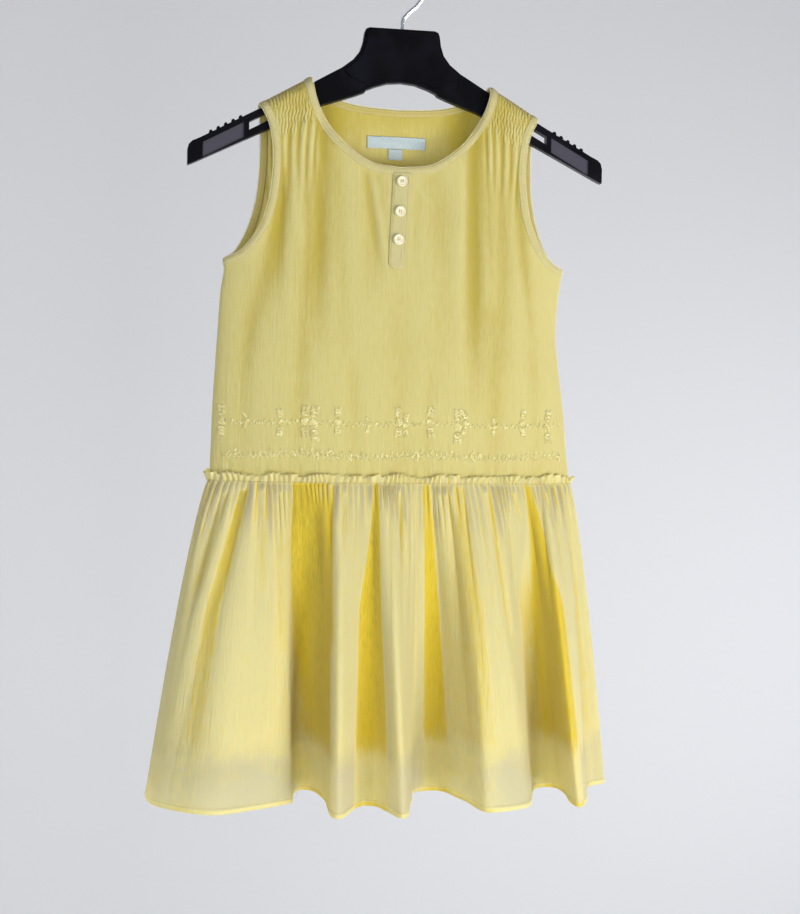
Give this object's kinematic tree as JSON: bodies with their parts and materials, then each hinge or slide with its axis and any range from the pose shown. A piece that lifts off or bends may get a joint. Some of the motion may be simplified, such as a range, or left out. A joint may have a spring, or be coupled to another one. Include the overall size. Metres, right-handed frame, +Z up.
{
  "type": "sundress on a hanger",
  "caption": "Sleeveless drop-waist sundress with a scooped neck, short buttoned placket, frilled waist seam and gathered skirt, hung on a moulded plastic hanger with a wire hook.",
  "frame": {"origin": "inside top of the hook, where the rail bears", "axes": "+Z up, +Y towards the back of the dress, +X to the right seen from its front"},
  "size_m": [0.4868, 0.1893, 0.8419],
  "materials": {
    "voile_yellow": "fine crinkled cotton voile, lemon yellow, slightly sheer",
    "binding_yellow": "the same voile doubled, with stitch lines and a fine picot edge",
    "lining_yellow": "plain lighter voile",
    "button_pearl": "pearly cream, softly glossy",
    "label_grey": "blank woven tape, pale grey-blue",
    "hanger_black": "moulded, glossy black",
    "hook_steel": "bright plated wire"
  },
  "bodies": {
    "root": {"bodice_front": "voile_yellow", "bodice_back": "voile_yellow", "neck_binding": "binding_yellow", "armhole_binding_left": "binding_yellow", "armhole_binding_right": "binding_yellow", "placket": "binding_yellow", "button_top": "button_pearl", "button_middle": "button_pearl", "button_lower": "button_pearl", "neck_label": "label_grey", "size_tag": "label_grey", "waist_frill": "voile_yellow", "skirt_front": "voile_yellow", "skirt_back": "voile_yellow", "skirt_lining": "lining_yellow", "hanger_body": "hanger_black", "hanger_plate_front": "hanger_black", "hanger_plate_back": "hanger_black", "hanger_hook": "hook_steel"}
  },
  "joints": []
}
